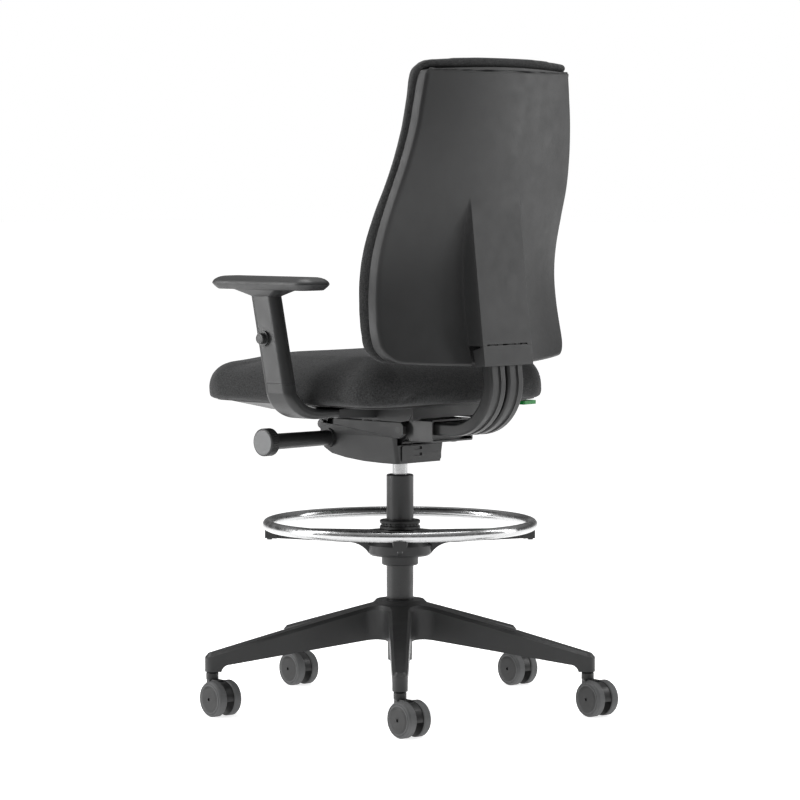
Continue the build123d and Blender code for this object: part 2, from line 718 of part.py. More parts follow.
def seat_pan():
    upper = Plane.XY.offset(SEAT_BOTTOM - 3) * rounded_plan(212, SEAT_FRONT + 28, SEAT_REAR - 18, 60)
    lower = Plane.XY.offset(551) * rounded_plan(160, SEAT_FRONT + 90, SEAT_REAR - 70, 40)
    dish = loft([upper, lower])
    dish += extrude(upper, amount=3)
    dish -= block((-300, 300), (-24, 300), (500, 565.5))
    recess_half = CARRIER_HALF + 0.6
    dish -= block((-recess_half, recess_half), (-152, 300), (500, CARRIER_TOP + 0.5))
    pin_x, pin_z = DEPTH_PIN
    for y in (84, 112):
        dish += block((pin_x - 5, pin_x + 5), (y, y + 3), (pin_z - 5, SEAT_BOTTOM - 1))
    dish -= rod_y(2, 80, 120, pin_x, pin_z)
    return dish


def seat_cushion():
    body = extrude(Plane.XY.offset(SEAT_BOTTOM) * rounded_plan(SEAT_HALF, SEAT_FRONT, SEAT_REAR, SEAT_CORNER),
                   amount=SEAT_TOP - SEAT_BOTTOM)
    body = fillet(body.edges().group_by(Axis.Z)[-1], 34)
    return fillet(body.edges().group_by(Axis.Z)[0], 9)


def depth_pin():
    return rod_y(2, 83, 116, *DEPTH_PIN)


def depth_lever():
    pin_x, pin_z = DEPTH_PIN
    arm = block((-212, pin_x), (88, 111), (pin_z - 3, pin_z + 3))
    arm += rod_y(5, 88, 111, pin_x, pin_z)
    outline = [(-206, 78), (-247, 82), (-247, 120), (-206, 124)]
    paddle = extrude(Plane.XY.offset(pin_z - 3) * make_face(Polyline(*outline, close=True)), amount=7)
    lever = arm + fillet(paddle.edges().filter_by(Axis.Z), 4)
    return lever - rod_y(2 + RUN_GAP, 80, 120, pin_x, pin_z)


# ---- armrests (sitter's left; the right one is mirrored) ----------------------------------------
BUTTON_Z = 691.0
BUTTON_R = 9.5
BUTTON_TRAVEL = 3.0
POST_GAP = 0.4


def post_section(z, shrink=0.0):
    size_y = POST_LONG - 2 * shrink
    size_x = POST_THICK - 2 * shrink
    plan = RectangleRounded(size_x, size_y, min(13.5 - shrink, size_x / 2 - 0.2))
    return Pos(ARM_X, lean_point(z), z) * plan


def post(z0, z1, shrink=0.0):
    return loft([post_section(z0, shrink), post_section(z1, shrink)])


def elbow_section(x, z, tilt, middle_y, width, thick, corner):
    """A rounded section across the elbow. Its normal turns from +X (tilt 0) to +Z (tilt 90)."""
    turn = math.radians(tilt)
    plane = Plane(origin=(x, middle_y, z), x_dir=(0, 1, 0), z_dir=(math.cos(turn), 0, math.sin(turn)))
    return plane * RectangleRounded(width, thick, corner)


def arm_foot():
    core = post(600, 752, 5.0)
    y = (FOOT_Y[0] + FOOT_Y[1]) / 2
    z = (FOOT_Z[0] + FOOT_Z[1]) / 2
    width = FOOT_Y[1] - FOOT_Y[0] - 0.4
    root = Rectangle(width, FOOT_Z[1] - FOOT_Z[0] - 0.4)
    bar = extrude(Plane.YZ.offset(79.5) * Pos(y, z) * root, amount=36.5)
    bar += loft([Plane.YZ.offset(116) * Pos(y, z) * root, Plane.YZ.offset(200) * Pos(y - 8, 554) * Rectangle(width, 15)])
    elbow = loft([
        elbow_section(200, 554, 0, y - 8, width, 15, 5),
        elbow_section(236, 554.5, 6, y - 13, 59, 17, 6),
        elbow_section(268, 560, 24, y - 20, 61, 22, 8),
        elbow_section(290, 576, 60, lean_point(576), 62, 28, 11),
        elbow_section(ARM_X, 594, 90, lean_point(594), POST_LONG, POST_THICK, 13.5),
    ])
    lower = post(594, SLEEVE_BOTTOM)
    foot = lower + core + bar + elbow
    for shaft in arm_bolt_shafts():
        foot -= shaft
    return foot


def arm_sleeve():
    top_z = 766.0
    outer = post(SLEEVE_BOTTOM + 0.4, top_z)
    y = lean_point(778)
    flare_top = Pos(ARM_X, y, 778) * RectangleRounded(56, 122, 14)
    flare = loft([post_section(top_z), flare_top])
    sleeve = outer + flare
    cavity = post(SLEEVE_BOTTOM - 2, 756, 5.0 - POST_GAP)
    button_y = lean_point(BUTTON_Z) - 8
    collar = rod_x(14, ARM_X + 12, ARM_X + POST_THICK / 2 + 4, button_y, BUTTON_Z)
    sleeve += collar
    sleeve -= cavity
    sleeve -= rod_x(BUTTON_R + RUN_GAP, ARM_X + 11, ARM_X + 60, button_y, BUTTON_Z)
    return sleeve


def arm_button():
    x0 = ARM_X + 11 + BUTTON_TRAVEL
    button = rod_x(BUTTON_R, x0, ARM_X + POST_THICK / 2 + 12, lean_point(BUTTON_Z) - 8, BUTTON_Z)
    return fillet(button.edges().group_by(Axis.X)[-1], 1.5)


def arm_pad():
    y0, y1 = PAD_Y
    centre = (y0 + y1) / 2
    levels = [
        (PAD_Z[0], 10.0, 22.0), (PAD_Z[0] + 9, 1.0, 26.0), (PAD_Z[0] + 14, 0.0, 26.0),
        (PAD_Z[1] - 5, 4.0, 24.0), (PAD_Z[1], 22.0, 16.0),
    ]
    sections = [
        Pos(ARM_X, centre, z) * RectangleRounded(2 * (PAD_HALF - inset), y1 - y0 - 2 * inset, corner)
        for z, inset, corner in levels
    ]
    return loft(sections, ruled=True)


# ---- write every sub-part -----------------------------------------------------------------------
def main():
    os.makedirs("parts", exist_ok=True)
    for make in (
        star_base, column_tube, guide_bush, thrust_bearing, castor_stems, piston_rod, retaining_clip, gas_cylinder,
        ring_spider, ring_bush, ring_collar, mech_frame, lower_housing, upper_housing, rear_cover, tension_spring,
        main_axle, front_axle, lever_pin, crank_shaft, crank_knob, crank_disc, height_lever, back_bracket,
        bracket_bolts, back_shell, back_cushion, spine_cover, spine_cap, seat_carrier, arm_bolts, seat_pan,
        seat_cushion, depth_pin, depth_lever, foot_ring,
    ):
        save(make(), make.__name__)
    save(Compound(around(ring_screw(), RING_ARMS)), "ring_screws")
    bar = back_bar()
    save(bar, "back_bar_left")
    save(mirrored(bar), "back_bar_right")
    for make in (arm_foot, arm_sleeve, arm_button, arm_pad):
        left = make()
        save(left, f"{make.__name__}_left")
        save(mirrored(left), f"{make.__name__}_right")
    hood = castor_hood()
    wheels = castor_wheels()
    for k in range(ARM_COUNT):
        save(castor_place(k) * hood, f"castor_hood_{k + 1}")
        save(castor_place(k) * wheels, f"castor_wheels_{k + 1}")


if __name__ == "__main__":
    main()
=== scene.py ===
import json
import math

import bmesh
import bpy
import numpy as np
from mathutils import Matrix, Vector


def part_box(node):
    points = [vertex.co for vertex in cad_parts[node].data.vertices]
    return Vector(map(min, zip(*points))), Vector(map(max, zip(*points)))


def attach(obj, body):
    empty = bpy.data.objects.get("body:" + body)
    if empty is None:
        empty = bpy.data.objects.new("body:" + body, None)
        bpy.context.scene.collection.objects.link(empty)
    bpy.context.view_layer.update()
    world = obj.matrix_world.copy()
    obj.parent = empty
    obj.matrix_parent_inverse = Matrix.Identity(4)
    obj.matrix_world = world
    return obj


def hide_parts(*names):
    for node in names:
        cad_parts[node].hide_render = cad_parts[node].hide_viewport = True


# Drafting chair. Metres, +Z up, the row frame of the CAD model: a sitter faces -Y and has +X on the left.

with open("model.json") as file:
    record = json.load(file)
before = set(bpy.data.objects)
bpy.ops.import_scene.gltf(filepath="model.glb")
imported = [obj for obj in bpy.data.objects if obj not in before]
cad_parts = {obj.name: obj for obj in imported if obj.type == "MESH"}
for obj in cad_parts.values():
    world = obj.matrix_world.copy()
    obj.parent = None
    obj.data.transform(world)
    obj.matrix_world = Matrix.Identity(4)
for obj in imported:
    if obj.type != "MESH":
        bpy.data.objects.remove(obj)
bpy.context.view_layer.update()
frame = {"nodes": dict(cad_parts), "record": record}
NODES = frame["nodes"]


# ---- materials ----------------------------------------------------------------------------------
class Shader:
    """A material with one Principled shader, and short calls for the nodes in front of it."""

    def __init__(self, name, roughness, metallic=0.0, specular=0.5):
        self.material = bpy.data.materials.new(name)
        self.material.use_nodes = True
        self.tree = self.material.node_tree
        self.tree.nodes.clear()
        self.output = self.tree.nodes.new("ShaderNodeOutputMaterial")
        self.shader = self.tree.nodes.new("ShaderNodeBsdfPrincipled")
        self.shader.inputs["Roughness"].default_value = roughness
        self.shader.inputs["Metallic"].default_value = metallic
        self.shader.inputs["Specular IOR Level"].default_value = specular
        self.link(self.shader.outputs[0], self.output.inputs[0])
        self.place = self.tree.nodes.new("ShaderNodeTexCoord").outputs["Object"]

    def link(self, source, target):
        self.tree.links.new(source, target)

    def node(self, kind, **values):
        node = self.tree.nodes.new(kind)
        for key, value in values.items():
            if hasattr(node, key):
                setattr(node, key, value)
            else:
                node.inputs[key.replace("_", " ")].default_value = value
        return node

    def noise(self, scale, detail=3.0, roughness=0.55, stretch=None):
        node = self.node("ShaderNodeTexNoise", Scale=scale, Detail=detail, Roughness=roughness)
        source = self.place
        if stretch:
            mapping = self.node("ShaderNodeMapping")
            mapping.inputs["Scale"].default_value = stretch
            self.link(source, mapping.inputs["Vector"])
            source = mapping.outputs["Vector"]
        self.link(source, node.inputs["Vector"])
        return node.outputs["Fac"]

    def cells(self, scale):
        node = self.node("ShaderNodeTexVoronoi", Scale=scale)
        self.link(self.place, node.inputs["Vector"])
        return node.outputs["Distance"]

    def ramp(self, source, low, high, start=0.3, end=0.7):
        node = self.tree.nodes.new("ShaderNodeValToRGB")
        node.color_ramp.elements[0].position = start
        node.color_ramp.elements[1].position = end
        node.color_ramp.elements[0].color = (*low, 1) if hasattr(low, "__len__") else (low, low, low, 1)
        node.color_ramp.elements[1].color = (*high, 1) if hasattr(high, "__len__") else (high, high, high, 1)
        self.link(source, node.inputs["Fac"])
        return node.outputs["Color"]

    def math(self, operation, a, b):
        node = self.node("ShaderNodeMath", operation=operation)
        for k, value in enumerate((a, b)):
            if isinstance(value, (int, float)):
                node.inputs[k].default_value = value
            else:
                self.link(value, node.inputs[k])
        return node.outputs[0]

    def colour(self, source):
        self.link(source, self.shader.inputs["Base Color"])

    def rough(self, source):
        self.link(source, self.shader.inputs["Roughness"])

    def bump(self, height, strength, distance, below=None):
        node = self.node("ShaderNodeBump", Strength=strength, Distance=distance)
        self.link(height, node.inputs["Height"])
        if below is not None:
            self.link(below, node.inputs["Normal"])
        return node.outputs["Normal"]

    def normal(self, source):
        self.link(source, self.shader.inputs["Normal"])


def grey(level, tint=1.03):
    return (level, level * (1 + tint) / 2, level * tint)


def moulded_plastic(name, level, roughness=0.42, grain=1500.0, depth=0.00006, specular=0.38):
    """Spark-eroded moulding: fine pebbled grain, slight cloudiness in colour and in gloss."""
    s = Shader(name, roughness, specular=specular)
    cloud = s.noise(9.0, 4.0)
    s.colour(s.ramp(cloud, grey(level * 0.88), grey(level * 1.12)))
    patch = s.noise(38.0, 3.0)
    s.rough(s.ramp(patch, roughness - 0.04, roughness + 0.05))
    pebble = s.cells(grain)
    fine = s.noise(grain * 1.7, 2.0)
    s.normal(s.bump(s.math("ADD", pebble, fine), 0.35, depth))
    return s.material


def coated_steel(name, level, roughness=0.36):
    """Powder coat: orange peel over steel, with faint dust specks."""
    s = Shader(name, roughness)
    speck = s.noise(900.0, 1.0)
    s.colour(s.ramp(speck, grey(level * 0.9), grey(level * 1.5), 0.45, 0.78))
    peel = s.noise(420.0, 2.0)
    s.rough(s.ramp(s.noise(24.0), roughness - 0.05, roughness + 0.06))
    s.normal(s.bump(peel, 0.3, 0.00012))
    return s.material


def plated_steel(name, level, roughness=0.07):
    """Bright plating: very fine haze and drawn lines along the tube."""
    s = Shader(name, roughness, metallic=1.0)
    s.colour(s.ramp(s.noise(14.0), grey(level * 0.95, 1.01), grey(level, 1.01)))
    s.rough(s.ramp(s.noise(60.0, 4.0), roughness * 0.6, roughness * 1.8))
    s.normal(s.bump(s.noise(700.0, 2.0, stretch=(1, 1, 0.2)), 0.03, 0.00003))
    return s.material


def turned_steel(name, level, roughness=0.3):
    s = Shader(name, roughness, metallic=1.0)
    s.colour(s.ramp(s.noise(20.0), grey(level * 0.85, 1.01), grey(level, 1.01)))
    s.rough(s.ramp(s.noise(80.0), roughness - 0.05, roughness + 0.1))
    s.normal(s.bump(s.noise(900.0, 2.0, stretch=(0.2, 1, 1)), 0.1, 0.00005))
    return s.material


def upholstery(name, level):
    """Melange worsted: crossed yarns with bright and dark fibres, over a slightly uneven cloth."""
    s = Shader(name, 0.88, specular=0.25)
    s.shader.inputs["Sheen Weight"].default_value = 0.10
    s.shader.inputs["Sheen Roughness"].default_value = 0.45
    s.shader.inputs["Sheen Tint"].default_value = (0.8, 0.8, 0.82, 1)
    warp = s.noise(620.0, 2.0, 0.6, stretch=(1, 1, 0.35))
    weft = s.noise(620.0, 2.0, 0.6, stretch=(0.35, 0.35, 1))
    yarn = s.math("MAXIMUM", warp, weft)
    fleck = s.noise(1100.0, 2.0, 0.7)
    tone = s.math("ADD", s.math("MULTIPLY", yarn, 0.65), s.math("MULTIPLY", fleck, 0.45))
    s.colour(s.ramp(tone, grey(level * 0.45, 1.02), grey(level * 2.3, 1.02), 0.46, 0.74))
    weave = s.bump(s.math("ADD", yarn, s.math("MULTIPLY", s.cells(800.0), 0.6)), 0.55, 0.0006)
    s.normal(s.bump(s.noise(26.0, 3.0), 0.12, 0.002, below=weave))
    return s.material


def foam_skin(name, level, roughness=0.5):
    """Soft polyurethane skin, with the shallow leather-like grain of a moulded arm pad."""
    s = Shader(name, roughness)
    s.colour(s.ramp(s.noise(12.0), grey(level * 0.9), grey(level * 1.15)))
    s.rough(s.ramp(s.noise(50.0), roughness - 0.05, roughness + 0.06))
    s.normal(s.bump(s.cells(950.0), 0.4, 0.00012))
    return s.material


def soft_tread(name, level):
    s = Shader(name, 0.62)
    s.colour(s.ramp(s.noise(45.0, 4.0), grey(level * 0.85), grey(level * 1.15)))
    s.rough(s.ramp(s.noise(90.0), 0.55, 0.72))
    s.normal(s.bump(s.noise(800.0, 2.0), 0.25, 0.0001))
    return s.material


MATERIALS = {
    "base_plastic": moulded_plastic("base_plastic", 0.022, 0.40),
    "black_steel": coated_steel("black_steel", 0.015),
    "dark_plastic": moulded_plastic("dark_plastic", 0.010, 0.45),
    "steel": turned_steel("steel", 0.34),
    "ring_chrome": plated_steel("ring_chrome", 0.48, 0.19),
    "housing_plastic": moulded_plastic("housing_plastic", 0.018, 0.42),
    "grey_disc": moulded_plastic("grey_disc", 0.12, 0.38),
    "bar_plastic": moulded_plastic("bar_plastic", 0.016, 0.42),
    "shell_plastic": moulded_plastic("shell_plastic", 0.016, 0.46, grain=1300.0, depth=0.00009),
    "fabric": upholstery("fabric", 0.020),
    "arm_plastic": moulded_plastic("arm_plastic", 0.020, 0.38),
    "pad_rubber": foam_skin("pad_rubber", 0.018),
    "green_plastic": moulded_plastic("green_plastic", 0.1, 0.4),
    "castor_plastic": moulded_plastic("castor_plastic", 0.012, 0.35),
    "castor_tread": soft_tread("castor_tread", 0.070),
    "castor_cap": moulded_plastic("castor_cap", 0.010, 0.35),
}
green = MATERIALS["green_plastic"].node_tree.nodes
for node in green:
    if node.type == "VALTORGB" and node.outputs[0].links[0].to_socket.name == "Base Color":
        node.color_ramp.elements[0].color = (0.002, 0.13, 0.020, 1)
        node.color_ramp.elements[1].color = (0.004, 0.20, 0.032, 1)

SLOTS = {part["node"]: part["material_slot"] for part in frame["record"]["subparts"]}
for node, slot in SLOTS.items():
    mesh = NODES[node].data
    mesh.materials.clear()
    mesh.materials.append(MATERIALS[slot])


CAP_RADIUS = 0.0245


def castor_caps(number):
    """Gives the middle of each wheel's face the harder cap material."""
    joint = next(j for j in frame["record"]["behaviour"]["joints"] if j["name"] == f"castor_roll_{number}")
    middle, axle = Vector(joint["pos_m"]), Vector(joint["axis"])
    wheels = NODES[f"castor_wheels_{number}"]
    wheels.data.materials.append(MATERIALS["castor_cap"])
    for face in wheels.data.polygons:
        arm = wheels.matrix_world @ face.center - middle
        if (arm - axle * arm.dot(axle)).length < CAP_RADIUS:
            face.material_index = 1


for number in range(1, 6):
    castor_caps(number)


# ---- mesh helpers -------------------------------------------------------------------------------
def applied(piece):
    """Makes the piece's modifiers part of its mesh."""
    evaluated = piece.evaluated_get(bpy.context.evaluated_depsgraph_get())
    mesh = bpy.data.meshes.new_from_object(evaluated)
    piece.modifiers.clear()
    piece.data = mesh


def object_from(name, work):
    """Turns a bmesh into an object in the scene."""
    data = bpy.data.meshes.new(name)
    work.to_mesh(data)
    work.free()
    piece = bpy.data.objects.new(name, data)
    bpy.context.scene.collection.objects.link(piece)
    return piece


# ---- padded pieces ------------------------------------------------------------------------------
def smooth(value):
    value = min(max(value, 0.0), 1.0)
    return value * value * (3 - 2 * value)


def bulge(distance, reach, power=2.0):
    """0 at the edge of a cushion, rising like a quarter circle to 1 at reach."""
    return (1 - (1 - min(distance / reach, 1.0)) ** power) ** (1 / power)


def edge_distance(points, outline):
    """How far each plan point lies inside a closed outline."""
    points = np.array(points)
    a = np.array(outline)
    b = np.roll(a, -1, axis=0)
    along = b - a
    best = np.full(len(points), 9.0)
    for start, run in zip(a, along):
        share = np.clip(((points - start) @ run) / max(run @ run, 1e-12), 0, 1)
        gap = np.linalg.norm(points - start - share[:, None] * run, axis=1)
        best = np.minimum(best, gap)
    return best


def clustered(count):
    """Steps from -1 to 1 that crowd together towards both ends."""
    return [-math.cos(math.pi * k / (count - 1)) for k in range(count)]


def pillow(name, across, along, plan, front, rear):
    """A closed form of two sheets that meet along one outline.

    plan(s, t) gives the plan point for s and t from -1 to 1. front and rear give the point in space for a
    plan point and its distance from the outline.
    """
    s_steps, t_steps = clustered(across), clustered(along)
    points = [plan(s, t) for t in t_steps for s in s_steps]
    border = [plan(s, -1) for s in s_steps] + [plan(1, t) for t in t_steps[1:]]
    border += [plan(s, 1) for s in reversed(s_steps[:-1])] + [plan(-1, t) for t in reversed(t_steps[1:-1])]
    depth = edge_distance(points, border)
    mesh = bmesh.new()
    sheets = []
    for sheet in (front, rear):
        sheets.append([mesh.verts.new(sheet(p, d)) for p, d in zip(points, depth)])
    for row in range(along - 1):
        for column in range(across - 1):
            k = row * across + column
            corners = (k, k + 1, k + across + 1, k + across)
            mesh.faces.new([sheets[0][c] for c in corners])
            mesh.faces.new([sheets[1][c] for c in reversed(corners)])
    bmesh.ops.remove_doubles(mesh, verts=mesh.verts, dist=1e-5)
    bmesh.ops.recalc_face_normals(mesh, faces=mesh.faces)
    data = bpy.data.meshes.new(name)
    mesh.to_mesh(data)
    mesh.free()
    return data


def stuffed(name, data, held, cap, pressure=4.0, voxel=0.005, frames=20):
    """Blows a cushion up as cloth under air pressure, holding the points for which held(point) is true."""
    piece = bpy.data.objects.new(name, data)
    bpy.context.scene.collection.objects.link(piece)
    bpy.context.view_layer.objects.active = piece
    remesh = piece.modifiers.new("voxels", "REMESH")
    remesh.mode = "VOXEL"
    remesh.voxel_size = voxel
    remesh.use_smooth_shade = True
    applied(piece)
    relax = piece.modifiers.new("relax", "SMOOTH")
    relax.factor = 0.5
    relax.iterations = 4
    applied(piece)
    rest = [v.co.copy() for v in piece.data.vertices]
    pins = piece.vertex_groups.new(name="held")
    pins.add([v.index for v in piece.data.vertices if held(v.co)], 1.0, "REPLACE")
    cloth = piece.modifiers.new("cloth", "CLOTH")
    settings = cloth.settings
    settings.quality = 5
    settings.mass = 0.3
    settings.tension_stiffness = 25
    settings.compression_stiffness = 25
    settings.bending_stiffness = 2
    settings.use_pressure = True
    settings.uniform_pressure_force = pressure
    settings.vertex_group_mass = "held"
    settings.effector_weights.gravity = 0
    cloth.collision_settings.use_collision = False
    cloth.point_cache.frame_start = 1
    cloth.point_cache.frame_end = frames
    for number in range(1, frames + 1):
        bpy.context.scene.frame_set(number)
    applied(piece)
    for vertex, place in zip(piece.data.vertices, rest):
        shift = vertex.co - place
        if shift.length > cap:
            vertex.co = place + shift.normalized() * cap
    relax = piece.modifiers.new("relax", "SMOOTH")
    relax.factor = 0.5
    relax.iterations = 3
    applied(piece)
    bpy.context.scene.frame_set(1)
    finer = piece.modifiers.new("finer", "SUBSURF")
    finer.levels = 1
    finer.render_levels = 1
    applied(piece)
    piece.data.shade_smooth()
    return piece


def finish_piece(piece, material, body, *nodes):
    piece.data.materials.clear()
    piece.data.materials.append(MATERIALS[material])
    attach(piece, body)
    if nodes:
        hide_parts(*nodes)
    return piece


def rounded_rectangle(half_x, y0, y1, corner):
    """plan(s, t) for a rectangle with rounded corners, as a grid whose side columns follow the corners."""

    def plan(s, t):
        y = (y0 + y1) / 2 + (y1 - y0) / 2 * t
        near = min(y - y0, y1 - y)
        cut = 0.0
        if near < corner:
            cut = corner - math.sqrt(max(corner ** 2 - (corner - near) ** 2, 0.0))
        return (s * (half_x - cut), y)

    return plan


# seat
SEAT_LOW, SEAT_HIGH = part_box("seat_cushion")
SEAT_EDGE = SEAT_LOW.z + 0.021          # height of the widest line round the seat
SEAT_CORNER = 0.070
SEAT_CROWN = 0.004


def seat_top(point, depth):
    x, y = point
    forward = smooth((SEAT_LOW.y + 0.20 - y) / 0.13)
    side = min(SEAT_HIGH.x - abs(x), SEAT_HIGH.y - y)
    if side < 0.10:
        forward *= smooth(side / 0.10 + 0.25)
    round_edge = bulge(depth, 0.062, 2.1)
    waterfall = bulge(depth, 0.190, 1.95)
    rise = round_edge * (1 - forward) + waterfall * forward
    top = SEAT_HIGH.z - SEAT_EDGE
    dish = 0.004 * math.exp(-(((y + 0.03) / 0.12) ** 2) - (x / 0.15) ** 2)
    return (x, y, SEAT_EDGE + top * rise + SEAT_CROWN * smooth(depth / 0.2) - dish)


def seat_bottom(point, depth):
    x, y = point
    return (x, y, SEAT_EDGE - (SEAT_EDGE - SEAT_LOW.z - 0.0008) * bulge(depth, 0.016, 2.2))


# drawn larger by what the remeshing and relaxing take off
seat_plan = rounded_rectangle(SEAT_HIGH.x + 0.007, SEAT_LOW.y - 0.007, SEAT_HIGH.y + 0.004, SEAT_CORNER)
seat = stuffed(
    "seat_upholstery", pillow("seat_upholstery", 73, 69, seat_plan, seat_top, seat_bottom),
    held=lambda p: p.z < SEAT_LOW.z + 0.006, cap=0.004,
)
finish_piece(seat, "fabric", "seat", "seat_cushion")


def under_cover():
    """The black board that closes the underside of the upholstery."""
    inset, steps = 0.010, 40
    low, high = SEAT_LOW.z - 0.0005, SEAT_LOW.z + 0.0030
    half_x, front, rear = SEAT_HIGH.x - inset, SEAT_LOW.y + inset, SEAT_HIGH.y - inset
    plan = rounded_rectangle(half_x, front, rear, SEAT_CORNER - inset)
    edge = [plan(-1, -math.cos(math.pi * k / steps)) for k in range(steps + 1)]
    edge += [plan(1, math.cos(math.pi * k / steps)) for k in range(steps + 1)]
    mesh = bmesh.new()
    sheets = [[mesh.verts.new((x, y, z)) for x, y in edge] for z in (low, high)]
    mesh.faces.new(sheets[1])
    mesh.faces.new(list(reversed(sheets[0])))
    for k in range(len(edge)):
        after = (k + 1) % len(edge)
        mesh.faces.new((sheets[0][k], sheets[0][after], sheets[1][after], sheets[1][k]))
    bmesh.ops.remove_doubles(mesh, verts=mesh.verts, dist=1e-6)
    bmesh.ops.recalc_face_normals(mesh, faces=mesh.faces)
    finish_piece(object_from("seat_board", mesh), "dark_plastic", "seat")


under_cover()


# backrest: height, Y of the shell's rear face at its middle, Y at its edge, half width of the cushion
BACK_FORM = [
    (0.620, 0.252, 0.201, 0.246), (0.687, 0.237, 0.181, 0.251), (0.745, 0.229, 0.171, 0.248),
    (0.800, 0.225, 0.169, 0.244), (0.850, 0.225, 0.176, 0.241), (0.905, 0.231, 0.192, 0.237),
    (0.960, 0.241, 0.211, 0.231), (1.015, 0.251, 0.226, 0.2215), (1.070, 0.258, 0.236, 0.212),
    (1.130, 0.262, 0.241, 0.203), (1.215, 0.265, 0.247, 0.190),
]
SHELL_INSET = 0.005                     # the shell is this much narrower than the cushion
SHELL_RIM = 0.0220                      # from the shell's rear face forward to its rim
SHELL_BOTTOM = 0.641
SHELL_TOP = 1.174
SHELL_THICK = 0.0030
PAD_FRONT = 0.054
PAD_BOTTOM = 0.650
PAD_TOP = 1.190
PAD_CORNER = 0.018
SPINE_HALF = 0.071
SPINE_SPLIT = 0.679
SPINE_FADE = 0.922                      # above here the spine runs out into the shell


def back_form(z):
    """Middle, edge and half width at a height, on a smooth curve through the stations."""
    last = len(BACK_FORM) - 1
    k = 0
    while k < last - 1 and BACK_FORM[k + 1][0] < z:
        k += 1
    z0, z1 = BACK_FORM[k][0], BACK_FORM[k + 1][0]
    t = min(max((z - z0) / (z1 - z0), 0.0), 1.0)
    values = []
    for column in (1, 2, 3):
        p = [BACK_FORM[min(max(k + j, 0), last)][column] for j in (-1, 0, 1, 2)]
        values.append(0.5 * (
            2 * p[1] + (p[2] - p[0]) * t + (2 * p[0] - 5 * p[1] + 4 * p[2] - p[3]) * t ** 2
            + (3 * p[1] - p[0] - 3 * p[2] + p[3]) * t ** 3))
    return values


def shell_rear(x, z):
    """Y of the shell's rear face."""
    middle, edge, half = back_form(z)
    return middle - (middle - edge) * (x / half) ** 2


def rim_depth(z):
    """How far the shell's rim stands in front of its rear face. It runs out at the top corners."""
    rise = min(max((z - (SHELL_TOP - 0.026)) / 0.026, 0.0), 1.0)
    return SHELL_THICK + 0.001 + (SHELL_RIM - SHELL_THICK - 0.001) * math.sqrt(1 - rise * rise)


def top_edge(x):
    return SHELL_TOP - 0.0065 * (x / 0.19) ** 2


def low_edge(x):
    return SHELL_BOTTOM + 0.011 * (x / 0.24) ** 2


def corner_cut(z, low, high, radius_low, radius_high):
    """How much a corner's radius takes off the half width at a height."""
    near, radius = (z - low, radius_low) if z < (low + high) / 2 else (high - z, radius_high)
    if near >= radius:
        return 0.0
    return radius - math.sqrt(max(radius ** 2 - (radius - near) ** 2, 0.0))


def back_plan(s, t):
    z = (PAD_BOTTOM + PAD_TOP) / 2 + (PAD_TOP - PAD_BOTTOM) / 2 * t
    half = back_form(z)[2] + 0.0030 - corner_cut(z, PAD_BOTTOM, PAD_TOP, 0.034, PAD_CORNER)
    bow = 0.008 * (1 - s * s) * smooth((abs(t) - 0.5) / 0.5) * (1 if t > 0 else -0.7)
    return (s * half, z - 0.0035 + bow)


def back_front(point, depth):
    x, z = point
    edge = rim_depth(z) + 0.009
    thick = PAD_FRONT - edge
    lumbar = 0.009 * math.exp(-(((z - 0.80) / 0.09) ** 2))
    rise = bulge(depth, 0.040, 2.1)
    return (x, shell_rear(x, z) - edge - thick * rise - (0.004 + lumbar) * smooth(depth / 0.12), z)


def back_rear(point, depth):
    x, z = point
    edge = rim_depth(z) + 0.009
    return (x, shell_rear(x, z) - edge + 0.0085 * bulge(depth, 0.009, 2.0), z)


def back_held(point):
    return point.y > shell_rear(point.x, point.z) - rim_depth(point.z) - 0.006


back = stuffed(
    "back_upholstery", pillow("back_upholstery", 73, 81, back_plan, back_front, back_rear),
    held=back_held, cap=0.004,
)
# the cover stays in front of the shell, and rolls over the shell's top edge
for vertex in back.data.vertices:
    x, y, z = vertex.co
    behind = shell_rear(x, z)
    if z > top_edge(x) + 0.0012:
        vertex.co.y = min(y, behind - 0.0006)
    elif abs(x) < back_form(z)[2] - SHELL_INSET and y > behind - SHELL_THICK - 0.0012:
        vertex.co.y = behind - SHELL_THICK - 0.0012
finish_piece(back, "fabric", "backrest", "back_cushion")


# ---- rear shell with its raised spine -----------------------------------------------------------
SPINE_FOOT = (0.2665, 0.645)            # Y and Z of the spine's flat face at its foot
SPINE_LEAN = math.radians(6.7)
EDGE_ROUND = 0.0055


def spine_plane(z):
    return SPINE_FOOT[0] - (z - SPINE_FOOT[1]) * math.tan(SPINE_LEAN)


def rear_skin(x, z):
    """Y of the moulded rear surface: the shell with the spine blended on to it."""
    base = shell_rear(x, z)
    lift = spine_plane(z) - base
    lift = 0.5 * (lift + math.sqrt(lift * lift + 0.0030 ** 2)) + 0.0012
    lift *= 1 - smooth((z - SPINE_FADE) / 0.022)
    wall = 1 - smooth((abs(x) - (SPINE_HALF - 0.0052)) / 0.0068)
    foot = math.exp(-(max(abs(x) - SPINE_HALF, 0.0) / 0.004)) * 0.06
    return base + lift * max(wall, foot)


def shell_columns():
    """From the middle out: fixed places over the spine and its walls, then shares of what is left."""
    inner = [0.0, 0.014, 0.028, 0.042, 0.054, 0.062]
    inner += [0.0640 + 0.00055 * k for k in range(17)]
    inner += [0.0745, 0.0765, 0.079, 0.084, 0.092]
    outer = [math.sin(math.pi / 2 * k / 22) for k in range(1, 23)]
    return [("fixed", x) for x in inner] + [("share", share) for share in outer]


def shell_column_x(column, half):
    kind, value = column
    return value if kind == "fixed" else 0.092 + (half - 0.092) * value


